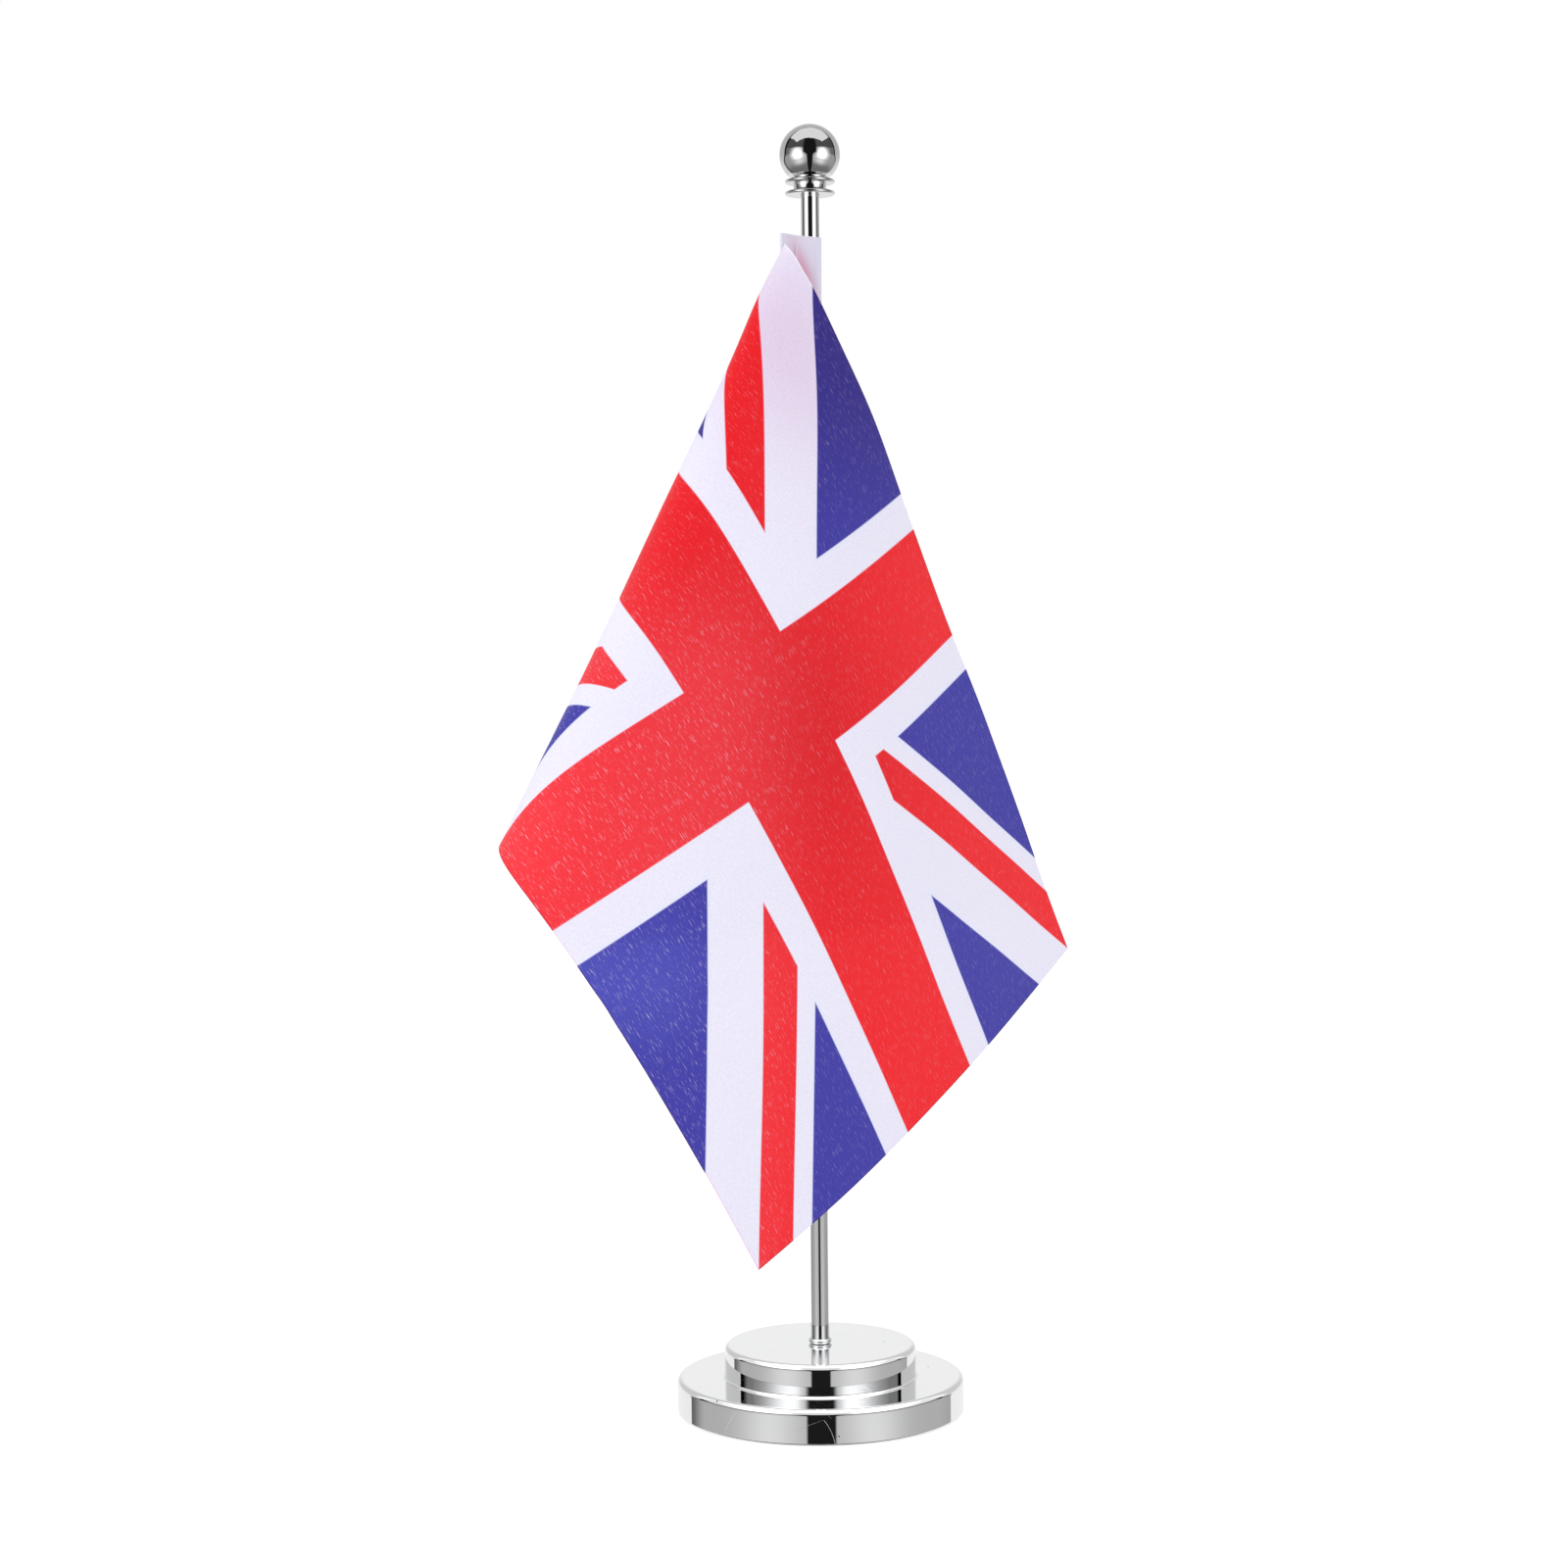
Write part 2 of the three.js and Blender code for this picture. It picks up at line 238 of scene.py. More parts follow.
def blend(weight, low_value, high_value):
    return low_value + weight * (high_value - low_value)


def node(tree, kind, **inputs):
    """A new node with some of its inputs set, by a value or by a link from a socket."""
    made = tree.nodes.new(kind)
    for name, value in inputs.items():
        entry = made.inputs[name.replace("_", " ")]
        if isinstance(value, Value):
            value = value.socket
        if isinstance(value, bpy.types.NodeSocket):
            tree.links.new(value, entry)
        else:
            entry.default_value = value
    return made


def place_in_object(tree):
    """Where the point is in its own object, which is also where it is in the frame at rest."""
    return tree.nodes.new("ShaderNodeTexCoord").outputs["Object"]


def parts(tree, place, unit=1.0):
    """The three parts of a place or direction, measured in units."""
    split = node(tree, "ShaderNodeSeparateXYZ", Vector=place)
    return [Value(tree, socket) / unit for socket in split.outputs]


def degrees_to_side(across, along):
    """The azimuth from the front, positive to the viewer's right, from two parts of a direction."""
    return across.maths("ARCTAN2", -along) * math.degrees(1)


def mixed(tree, weight, first, second):
    """A colour between two colours or colour sockets."""
    mix = tree.nodes.new("ShaderNodeMix")
    mix.data_type = "RGBA"
    entries = [s for s in mix.inputs if s.type == "RGBA"]
    tree.links.new(weight.socket, mix.inputs[0])
    for entry, colour in zip(entries, (first, second)):
        if isinstance(colour, bpy.types.NodeSocket):
            tree.links.new(colour, entry)
        else:
            entry.default_value = (*colour, 1)
    return next(s for s in mix.outputs if s.type == "RGBA")


def noise(tree, place, scale, detail, roughness=0.5, stretch=(1, 1, 1)):
    """Noise in 0 to 1 at a place socket, finer along the axes with a larger stretch."""
    mapping = node(tree, "ShaderNodeMapping", Vector=place, Scale=stretch)
    texture = node(tree, "ShaderNodeTexNoise", Vector=mapping.outputs[0], Scale=scale, Detail=detail)
    texture.inputs["Roughness"].default_value = roughness
    return Value(tree, texture.outputs[0])


def srgb(red, green, blue):
    """A linear colour from the 0 to 255 numbers of a picture."""

    def linear(level):
        level /= 255
        return level / 12.92 if level <= 0.04045 else ((level + 0.055) / 1.055) ** 2.4

    return tuple(linear(level) for level in (red, green, blue))


def material(name, metallic=0.0):
    """A new material: its tree and its Principled node."""
    made = bpy.data.materials.new(name)
    made.use_nodes = True
    shader = made.node_tree.nodes["Principled BSDF"]
    set_inputs(shader, Metallic=metallic)
    return made, made.node_tree, shader


def set_inputs(shader, **values):
    for name, value in values.items():
        shader.inputs[name.replace("_", " ")].default_value = value


def raised(tree, shader, height, distance, strength=1.0):
    """Let a height in 0 to 1 stand out of the surface, by a distance in metres at full strength."""
    bump = node(tree, "ShaderNodeBump", Height=height, Distance=distance, Strength=strength)
    tree.links.new(bump.outputs[0], shader.inputs["Normal"])


# ---- Camera, floor and light ----
CAMERA_PLACE = (-0.00758, -0.7116, 0.18515)
CAMERA_PITCH = 2.57  # degrees down
CAMERA_ROLL = -0.54
CAMERA_LENS = 67.37  # on a 36 mm sensor


def make_camera():
    camera = bpy.data.objects.new("camera", bpy.data.cameras.new("camera"))
    camera.data.lens = CAMERA_LENS
    camera.data.sensor_width = 36
    camera.data.clip_start = 0.01
    pitch = Matrix.Rotation(math.radians(90 - CAMERA_PITCH), 4, "X")
    roll = Matrix.Rotation(math.radians(CAMERA_ROLL), 4, "Z")
    camera.matrix_world = Matrix.Translation(CAMERA_PLACE) @ pitch @ roll
    bpy.context.scene.collection.objects.link(camera)
    bpy.context.scene.camera = camera


def make_floor():
    work = bmesh.new()
    bmesh.ops.create_grid(work, x_segments=1, y_segments=1, size=6)
    floor = bpy.data.objects.new("floor", finished("floor", work))
    made, tree, shader = material("floor_paint")
    grain = noise(tree, place_in_object(tree), 40, 4)
    tree.links.new(mixed(tree, grain, (0.40, 0.40, 0.40), (0.44, 0.44, 0.44)), shader.inputs["Base Color"])
    set_inputs(shader, Roughness=0.9, Specular_IOR_Level=0.0)
    set_inputs(shader, Emission_Color=(1, 1, 1, 1), Emission_Strength=0.72)
    floor.data.materials.append(made)
    floor.visible_glossy = False
    bpy.context.scene.collection.objects.link(floor)


# The studio as the metal sees it. Angles are in degrees, from the front or above the horizon, and a
# brightness of 1 is the white of the picture.
ROOM_LEVELS = (0.20, 0.46, 0.20, 0.09)  # of the dim room in front, from the floor up
ROOM_STEPS = ((-42, -18), (-3, 4), (15, 21))  # the heights over which it changes to the next level
GLOW_LEVEL = 0.22
FLOOR_GLOW_LEVEL = 0.75
LEAST_LEVEL = 0.012
GAP_HALF = (11.5, 26.0)  # of the dark gap in the middle, below and above the horizon
GAP_BLUR = (1.2, 4.0)
FRONT_EDGE = (127.5, 112.0)  # where the front meets the white behind, below and above the horizon
EDGE_BLUR = 0.6
LOW_RIM_DEPTH = (0.12, 0.72)  # of the dark rim inside that edge, on the right and on the left
LOW_RIM_WIDTH = 22
HIGH_RIM_WIDTH = (9, 15)
BEHIND_LEVELS = (0.95, 0.66)  # below and above the horizon
BEHIND_PATCH_LEVEL = 0.955
CEILING_LEVEL = 1.08
CEILING_FORWARD = (0.66, 0.70)  # the edges of the ceiling box, in ceiling heights
CEILING_BACK = (-0.42, -0.38)
CEILING_SIDE = (1.04, 1.10)


def make_world():
    """A studio: plain white to the eye and for soft light. Polished metal sees white behind the
    object, a dim room in front with a dark gap in the middle, and a soft box overhead."""
    world = bpy.data.worlds.new("studio")
    bpy.context.scene.world = world
    world.use_nodes = True
    tree = world.node_tree
    tree.nodes.clear()
    outward = tree.nodes.new("ShaderNodeTexCoord").outputs["Generated"]
    across, along, up = parts(tree, outward)
    azimuth = degrees_to_side(across, along)
    side = abs(azimuth)
    elevation = up.maths("ARCSINE") * math.degrees(1)
    from_front = (-along).maths("ARCCOSINE") * math.degrees(1)

    # The dim room in front, by height, and the glow of the soft boxes on the floor.
    room = ROOM_LEVELS[0]
    for (start, end), level in zip(ROOM_STEPS, ROOM_LEVELS[1:]):
        room = blend(elevation.step(start, end), room, level)
    glow = side.bump(40, 25) * elevation.bump(-14, 9) * GLOW_LEVEL
    floor_glow = side.bump(46, 26) * elevation.bump(-30, 11) * FLOOR_GLOW_LEVEL
    front = room + glow + floor_glow

    # The dark gap in front, wider above eye level.
    above = elevation.step(-10, 8)
    gap = blend(above, *GAP_HALF)
    blur = blend(above, *GAP_BLUR)
    front = front * side.step(gap - blur, gap + blur) + LEAST_LEVEL

    # A dark rim where the front meets the white behind, heavier on the left at the height of the base.
    edge = blend(elevation.step(-10, 6), *FRONT_EDGE)
    round_it = blend(elevation.step(-8, 4), side, from_front)
    left = azimuth.step(20, -20)
    inside = edge - round_it
    rim_low = inside.step(LOW_RIM_WIDTH, 0) * blend(left, *LOW_RIM_DEPTH)
    rim_high = inside.step(blend(left, *HIGH_RIM_WIDTH), 5)
    front = front * (1 - blend(elevation.step(-12, -4), rim_low, rim_high))

    # The soft box overhead: a rectangle of the ceiling, with ragged edges.
    wobble = (noise(tree, outward, 4.5, 3, 0.6) - 0.5) * 0.35
    ceiling = up.most(0.01)
    sideways = abs(across / ceiling)
    forward = -(along / ceiling)
    overhead = (forward + wobble).step(*CEILING_FORWARD[::-1])
    overhead = overhead * (forward - wobble * 0.4).step(*CEILING_BACK)
    overhead = overhead * (sideways + wobble).step(*CEILING_SIDE[::-1])

    behind = blend(elevation.step(-8, 8), *BEHIND_LEVELS)
    behind = blend(side.step(150, 178) * elevation.step(34, 24), behind, BEHIND_PATCH_LEVEL)
    studio = blend(round_it.step(edge - EDGE_BLUR, edge + EDGE_BLUR), front, behind)
    studio = blend(overhead, studio, CEILING_LEVEL)

    # Soft light for the cloth: a little stronger from the upper left.
    soft = 0.98 + up * 0.10 - across * 0.08
    path = tree.nodes.new("ShaderNodeLightPath")
    glossy = Value(tree, path.outputs["Is Glossy Ray"])
    seen = Value(tree, path.outputs["Is Camera Ray"])
    strength = blend(glossy, soft, studio)
    strength = blend(seen, strength, 1.0)
    background = node(tree, "ShaderNodeBackground", Color=(1, 1, 1, 1), Strength=strength)
    output = tree.nodes.new("ShaderNodeOutputWorld")
    tree.links.new(background.outputs[0], output.inputs["Surface"])


PANEL_AZIMUTH = 47  # degrees to either side of the front
PANEL_DISTANCE = 0.45  # from the pole
PANEL_WIDTH = 0.75
PANEL_BOTTOM = 0.10
PANEL_TOP = 0.50
PANEL_MIDDLE = 0.30
PANEL_LEVEL = 2.5
CANOPY_HEIGHT = 0.12
CANOPY_INNER = 0.01
CANOPY_OUTER = 0.62
CANOPY_NEAR = 0.43  # inside this distance the low light is even all round the front
CANOPY_LEVEL = 0.8


def round_the_pole(tree):
    """Where a point of a stage object is: degrees to the side of the front, distance out, height."""
    across, along, height = parts(tree, place_in_object(tree))
    side = abs(degrees_to_side(across, along))
    return side, (across * across + along * along).maths("SQRT"), height


def glow_material(name, brightness):
    """A light's face, clear where it gives no light. brightness works it out from the node tree."""
    made = bpy.data.materials.new(name)
    made.use_nodes = True
    tree = made.node_tree
    tree.nodes.clear()
    glow = node(tree, "ShaderNodeEmission", Color=(1, 1, 1, 1), Strength=brightness(tree))
    both = tree.nodes.new("ShaderNodeAddShader")
    tree.links.new(glow.outputs[0], both.inputs[0])
    tree.links.new(tree.nodes.new("ShaderNodeBsdfTransparent").outputs[0], both.inputs[1])
    output = tree.nodes.new("ShaderNodeOutputMaterial")
    tree.links.new(both.outputs[0], output.inputs["Surface"])
    return made


def panel_brightness(tree):
    """Brightest in the middle, with the inner edge further out higher up."""
    side, _, height = round_the_pole(tree)
    inner = blend(height.step(0.15, 0.32), 13, 22)
    strength = side.bump(PANEL_AZIMUTH + 2, 21) * side.step(inner, inner + 9)
    strength = strength * height.bump(PANEL_MIDDLE, 0.15)
    strength = strength * height.step(PANEL_BOTTOM, PANEL_BOTTOM + 0.06)
    return strength * height.step(PANEL_TOP, PANEL_TOP - 0.05) * PANEL_LEVEL


def canopy_brightness(tree):
    """Light on the underside only: even near the pole, and two patches further out."""
    side, out, _ = round_the_pole(tree)
    patches = side.bump(36, 25) * side.step(13, 20)
    strength = blend(out.step(CANOPY_NEAR, CANOPY_NEAR - 0.02), patches, CANOPY_LEVEL)
    strength = strength * side.step(125, 105) * out.step(CANOPY_OUTER, CANOPY_OUTER - 0.06)
    return strength * Value(tree, tree.nodes.new("ShaderNodeNewGeometry").outputs["Backfacing"])


def seen_in_metal(name, corners, faces, glow):
    """A stage object that only polished surfaces see."""
    mesh = bpy.data.meshes.new(name)
    mesh.from_pydata(corners, [], faces)
    mesh.materials.append(glow)
    piece = bpy.data.objects.new(name, mesh)
    bpy.context.scene.collection.objects.link(piece)
    for rays in ("camera", "diffuse", "shadow", "transmission", "volume_scatter"):
        setattr(piece, "visible_" + rays, False)


def make_canopy():
    """A low ring of light round the pole, facing down, so that the tops of the base stay bright from
    the sides and from behind."""
    steps = 72
    angles = [2 * math.pi * i / steps for i in range(steps)]
    edges = (CANOPY_INNER, CANOPY_OUTER)
    corners = [(r * math.cos(a), r * math.sin(a), CANOPY_HEIGHT) for r in edges for a in angles]
    faces = [(i, steps + i, steps + (i + 1) % steps, (i + 1) % steps) for i in range(steps)]
    seen_in_metal("canopy", corners, faces, glow_material("canopy_glow", canopy_brightness))


def make_panels():
    """Two soft boxes in front."""
    glow = glow_material("panel_glow", panel_brightness)
    for name, side in (("left", -1), ("right", 1)):
        azimuth = math.radians(side * PANEL_AZIMUTH)
        middle = Vector((math.sin(azimuth), -math.cos(azimuth), 0)) * PANEL_DISTANCE
        along = Vector((math.cos(azimuth), math.sin(azimuth), 0)) * PANEL_WIDTH / 2
        near, far = (middle - along).xy, (middle + along).xy
        order = ((near, PANEL_BOTTOM), (far, PANEL_BOTTOM), (far, PANEL_TOP), (near, PANEL_TOP))
        corners = [(*end, height) for end, height in order]
        seen_in_metal("panel_" + name, corners, [(0, 1, 2, 3)], glow)


KEY_PLACE = Vector((-0.75, -0.7, 0.65))
KEY_TARGET = Vector((0, 0, 0.18))
KEY_SIZE = (0.5, 0.8)
KEY_POWER = 1.6  # watts


def make_lights():
    """One large soft light from the upper left, for the sheen on the cloth."""
    lamp = bpy.data.lights.new("key_light", "AREA")
    lamp.shape = "RECTANGLE"
    lamp.size, lamp.size_y = KEY_SIZE
    lamp.energy = KEY_POWER
    light = bpy.data.objects.new("key_light", lamp)
    light.location = KEY_PLACE
    light.rotation_euler = (KEY_TARGET - KEY_PLACE).to_track_quat("-Z", "Y").to_euler()
    light.visible_glossy = False
    bpy.context.scene.collection.objects.link(light)


# ---- Metal, rubber and foam ----
def circle_through(first, second, third):
    """Centre and radius of the circle through three points of a plane."""
    (ax, ay), (bx, by), (cx, cy) = first, second, third
    double = 2 * (ax * (by - cy) + bx * (cy - ay) + cx * (ay - by))
    squares = (ax * ax + ay * ay, bx * bx + by * by, cx * cx + cy * cy)
    x = (squares[0] * (by - cy) + squares[1] * (cy - ay) + squares[2] * (ay - by)) / double
    y = (squares[0] * (cx - bx) + squares[1] * (ax - cx) + squares[2] * (bx - ax)) / double
    return x, y, math.hypot(ax - x, ay - y)


def scratch_along(x, z, first, second, third, width=0.08):
    """1 on a fine line along the arc through three points of the front, in millimetres, 0 off it."""
    centre_x, centre_z, size = circle_through(first, second, third)
    dx, dz = x - centre_x, z - centre_z
    away = abs((dx * dx + dz * dz).maths("SQRT") - size)
    lowest, highest = min(first[1], third[1]), max(first[1], third[1])
    between = z.step(lowest - 0.2, lowest + 0.4) * z.step(highest + 0.2, highest - 0.4)
    return away.step(width, width * 0.3) * between


def pit_at(x, y, z, centre, size):
    """1 inside a small pit, 0 outside it."""
    dx, dy, dz = x - centre[0], y - centre[1], z - centre[2]
    return (dx * dx + dy * dy + dz * dz).maths("SQRT").step(size, size * 0.6)


# Marks on the front of the base, in millimetres: (x, height) points along each line, and the places
# and sizes of a few pits.
BASE_SCRATCHES = (
    ((0.24, 6.4), (1.9, 3.7), (2.9, 0.5)),
    ((-9.4, 2.05), (-4.6, 4.4), (0.5, 6.4)),
    ((1.2, 7.6), (1.7, 7.0), (2.1, 6.5)),
)
BASE_PITS = (
    ((3.8, -34.8, 2.3), 0.24),
    ((-24.9, -24.0, 8.2), 0.34),
    ((15.6, 0.5, 16.2), 0.3),
    ((26.7, 6.0, 8.5), 0.3),
)


def hairlines_and_pits(tree, place):
    """Hairlines are the borders of large warped cells, kept only in places. Pits are small cells."""
    bent = node(tree, "ShaderNodeTexNoise", Vector=place, Scale=30.0, Detail=2.0)
    warped = tree.nodes.new("ShaderNodeVectorMath")
    warped.operation = "MULTIPLY_ADD"
    tree.links.new(bent.outputs["Color"], warped.inputs[0])
    warped.inputs[1].default_value = (0.02, 0.02, 0.02)
    tree.links.new(place, warped.inputs[2])
    cells = node(tree, "ShaderNodeTexVoronoi", Vector=warped.outputs[0], Scale=55.0)
    cells.feature = "DISTANCE_TO_EDGE"
    border = Value(tree, cells.outputs["Distance"])
    hairline = border.step(0.004, 0.001) * noise(tree, place, 38, 1).step(0.66, 0.72)
    spots = node(tree, "ShaderNodeTexVoronoi", Vector=place, Scale=260.0)
    kept = noise(tree, place, 120, 1).step(0.66, 0.74)
    return hairline, Value(tree, spots.outputs["Distance"]).step(0.11, 0.05) * kept


def chrome_material(name, level, marked=False):
    """Polished chrome plate. level is the share of light it gives back. The base has its own marks."""
    made, tree, shader = material(name, metallic=1.0)
    place = place_in_object(tree)
    darker = tuple(level * c for c in (0.965, 0.97, 0.98))
    paler = tuple(min(level * c, 1.0) for c in (1.02, 1.022, 1.028))
    tint = mixed(tree, noise(tree, place, 90, 3), darker, paler)
    wiped = noise(tree, place, 260, 4, 0.65, (1, 1, 0.2))
    rough = blend(wiped.step(0.45, 0.8), 0.015, 0.07)
    hairline, pit = hairlines_and_pits(tree, place)
    depth = -(hairline * 0.25) - pit
    if marked:
        x, y, z = parts(tree, place, MM)
        worn = scratch_along(x, z, *BASE_SCRATCHES[0])
        for points in BASE_SCRATCHES[1:]:
            worn = worn.most(scratch_along(x, z, *points, width=0.06) * 0.6)
        worn = worn * y.step(0, -3)
        tint = mixed(tree, worn, tint, (1, 1, 1))
        rough = blend(worn, rough, 0.55)
        for centre, size in BASE_PITS:
            spot = pit_at(x, y, z, centre, size)
            tint = mixed(tree, spot, tint, (0.05, 0.05, 0.05))
            depth = depth - spot
    tree.links.new(tint, shader.inputs["Base Color"])
    tree.links.new(rough.socket, shader.inputs["Roughness"])
    raised(tree, shader, depth, 0.00012, 0.6)
    return made


def grained_material(name, grain, colours, roughness, depth, metallic=0.0, upright=1):
    """A material whose colour, roughness and height follow one fine noise. grain is that noise's
    scale, detail and roughness, and upright makes it finer up the part."""
    made, tree, shader = material(name, metallic)
    marks = noise(tree, place_in_object(tree), *grain, (1, 1, upright))
    tree.links.new(mixed(tree, marks, *colours), shader.inputs["Base Color"])
    tree.links.new(blend(marks, *roughness).socket, shader.inputs["Roughness"])
    raised(tree, shader, marks, depth)
    return made


def steel_material():
    """Turned steel, with marks that run round it."""
    colours = ((0.42, 0.43, 0.45), (0.60, 0.61, 0.62))
    return grained_material("steel", (900, 3, 0.6), colours, (0.28, 0.5), 0.00003, 1.0, 8)


def brass_material():
    colours = ((0.62, 0.44, 0.18), (0.78, 0.60, 0.30))
    return grained_material("brass", (700, 3, 0.6), colours, (0.22, 0.42), 0.00002, 1.0, 6)


def rubber_material():
    colours = ((0.012, 0.012, 0.013), (0.035, 0.035, 0.037))
    return grained_material("rubber", (900, 4, 0.6), colours, (0.65, 0.85), 0.00003)


def foam_material():
    made, tree, shader = material("foam")
    cells = node(tree, "ShaderNodeTexVoronoi", Vector=place_in_object(tree), Scale=1400.0)
    cell = Value(tree, cells.outputs["Distance"])
    tint = mixed(tree, cell, (0.014, 0.014, 0.015), (0.05, 0.05, 0.053))
    tree.links.new(tint, shader.inputs["Base Color"])
    set_inputs(shader, Roughness=0.95)
    raised(tree, shader, cell, 0.00008)
    return made


# ---- Base ----
COVER_WALL = 0.8
EDGE_ROUND = 1.4
RIM_ROUND = 0.12
UPPER_FLARE = 0.45
BUSH_HOLE = 3.08
STUD_HOLE = 1.66


def make_turned(node_name, profile, finish, body, steps=TURNED_STEPS, closed=True, ending="_smooth"):
    """A turned piece that stands for a CAD node and is named after it."""
    name = node_name + ending
    return link(name, turned(name, profile, closed, steps), finish, body, node_name)


def cover(node_name, bottom, hole, chrome, flare=0.0):
    """A pressed cup, open below, with a rounded shoulder. Its lower rim is rolled, or flares out."""
    outer, _, top = span(node_name)
    inner = outer - COVER_WALL
    ceiling = top - COVER_WALL
    rolled = arc(outer - RIM_ROUND, bottom + RIM_ROUND, RIM_ROUND, -90, 0, 4)
    flared = arc(outer + flare, bottom + flare, flare, -90, -180, 8)
    profile = [
        (inner, bottom),
        *(flared if flare else rolled),
        *arc(outer - EDGE_ROUND, top - EDGE_ROUND, EDGE_ROUND, 0, 90, 14),
        *arc(hole + RIM_ROUND, top - RIM_ROUND, RIM_ROUND, 90, 180, 4),
        (hole, ceiling),
        (inner, ceiling),
    ]
    make_turned(node_name, profile, chrome, "base", COVER_STEPS)


def disc(node_name, edge, edge_steps):
    """The profile of a solid disc with a rounded lower edge."""
    wide, bottom, top = span(node_name)
    rounded = arc(wide - edge, bottom + edge, edge, -90, 0, edge_steps)
    return [(0, bottom), *rounded, (wide, top), (0, top)]


def make_base(chrome, foam, steel):
    cover("base_cover_lower", low("base_cover_lower"), BUSH_HOLE, chrome)
    cover("base_cover_upper", high("base_cover_lower") + TOUCH, STUD_HOLE, chrome, UPPER_FLARE)
    make_turned("foot_pad", disc("foot_pad", 0.25, 5), foam, "base", closed=False, ending="_soft")
    make_turned("bottom_plate", disc("bottom_plate", 0.1, 3), steel, "base", closed=False)


# ---- Pole ----
POLE_EDGE = 0.15
COLLAR_SWEEP = 65  # degrees up and down from the middle of its belly


def make_pole(chrome):
    """The tube and the collar at its foot, both drawn down to the base."""
    bottom = high("base_cover_upper") + TOUCH
    outer, _, top = span("pole_tube")
    bore = THREAD_RADIUS + SLIP
    profile = [
        (bore, bottom),
        *arc(outer - POLE_EDGE, bottom + POLE_EDGE, POLE_EDGE, -90, 0, 4),
        *arc(outer - POLE_EDGE, top - POLE_EDGE, POLE_EDGE, 0, 90, 4),
        (bore, top),
    ]
    make_turned("pole_tube", profile, chrome, "pole", SLIM_STEPS)

    wide, _, top = span("pole_collar")
    belly = (top - bottom) / 2
    hole = outer + SLIP
    profile = [
        (hole, bottom),
        *arc(wide - belly, bottom + belly, belly, -COLLAR_SWEEP, COLLAR_SWEEP, 16),
        (hole, top),
    ]
    make_turned("pole_collar", profile, chrome, "pole", SLIM_STEPS)


GROOVE_DEPTH = 0.27
GROOVE_SLOPE = 1.25  # more than 1 leaves a narrow flat at the groove's bottom


def make_stud(node_name, body, steel):
    """A stud with a real screw thread: a V groove wound round it, fading out at both ends."""
    _, bottom, top = span(node_name)
    turn_steps = 36
    rise_steps = 10  # to one turn of the thread
    count = int((top - bottom) / THREAD_PITCH * rise_steps)
    work = bmesh.new()
    rows = []
    for i in range(count + 1):
        z = bottom + (top - bottom) * i / count
        ends = min(z - bottom, top - z) / THREAD_PITCH
        chamfer = max(0.0, 1 - ends) * GROOVE_DEPTH
        row = []
        for j in range(turn_steps):
            turn = j / turn_steps
            phase = ((z - bottom) / THREAD_PITCH - turn) % 1
            groove = 1 - abs(2 * phase - 1)
            r = THREAD_RADIUS - max(GROOVE_DEPTH * min(groove * GROOVE_SLOPE, 1), chamfer)
            angle = 2 * math.pi * turn
            row.append(work.verts.new((r * math.cos(angle) * MM, r * math.sin(angle) * MM, z * MM)))
        rows.append(row)
    tube(work, rows)
    name = node_name + "_threaded"
    return link(name, finished(name, work, 50), steel, body, node_name)


# ---- Finial ----
FLANGE_THICKNESS = 0.9
UPPER_NECK_RADIUS = 4.2
LOWER_NECK_RADIUS = 4.0
NECK_WAIST = 0.1
POLE_SOCKET = 1.7


def flange_and_neck(wide, bottom, top, narrow):
    """Up the outside of a ring: a flange with a round edge, then a slightly waisted neck."""
    half = FLANGE_THICKNESS / 2
    flange = arc(wide - half, bottom + half, half, -90, 90, 12)
    neck_bottom = bottom + FLANGE_THICKNESS
    middle, reach = (neck_bottom + top) / 2, (top - neck_bottom) / 2
    heights = np.linspace(neck_bottom, top, 9)
    return flange + [(narrow - NECK_WAIST * (1 - ((z - middle) / reach) ** 2), z) for z in heights]


def make_finial(chrome):
    """The ball and two turned rings. The lower ring is drawn right up to the upper one."""
    bore = THREAD_RADIUS + SLIP
    wide, bottom, top = span("finial_ball")
    centre = top - wide
    flat = math.degrees(math.asin((bottom - centre) / wide))
    sphere = arc(0, centre, wide, flat, 90, 64)
    sphere[-1] = (0, top)
    profile = [(0, centre + GAP), (bore, centre + GAP), (bore, bottom), *sphere]
    make_turned("finial_ball", profile, chrome, "finial", closed=False)

    wide, bottom, top = span("finial_upper_ring")
    profile = [(bore, bottom), *flange_and_neck(wide, bottom, top, UPPER_NECK_RADIUS), (bore, top)]
    make_turned("finial_upper_ring", profile, chrome, "finial")

    wide, bottom, _ = span("finial_lower_ring")
    top = low("finial_upper_ring") - TOUCH
    socket = radius("pole_tube") + SLIP
    profile = [
        (socket, bottom),
        *flange_and_neck(wide, bottom, top, LOWER_NECK_RADIUS),
        (bore, top),
        (bore, bottom + POLE_SOCKET + GAP),
        (socket, bottom + POLE_SOCKET + GAP),
    ]
    make_turned("finial_lower_ring", profile, chrome, "finial")


STOP_EDGE = 0.6


def make_stop(rubber):
    wide, bottom, top = span("stop_ring")
    hole = radius("pole_tube") + SLIP / 2
    profile = [
        (hole, bottom),
        *arc(wide - STOP_EDGE, bottom + STOP_EDGE, STOP_EDGE, -90, 0, 8),
        *arc(wide - STOP_EDGE, top - STOP_EDGE, STOP_EDGE, 0, 90, 8),
        (hole, top),
    ]
    make_turned("stop_ring", profile, rubber, "stop", SLIM_STEPS)


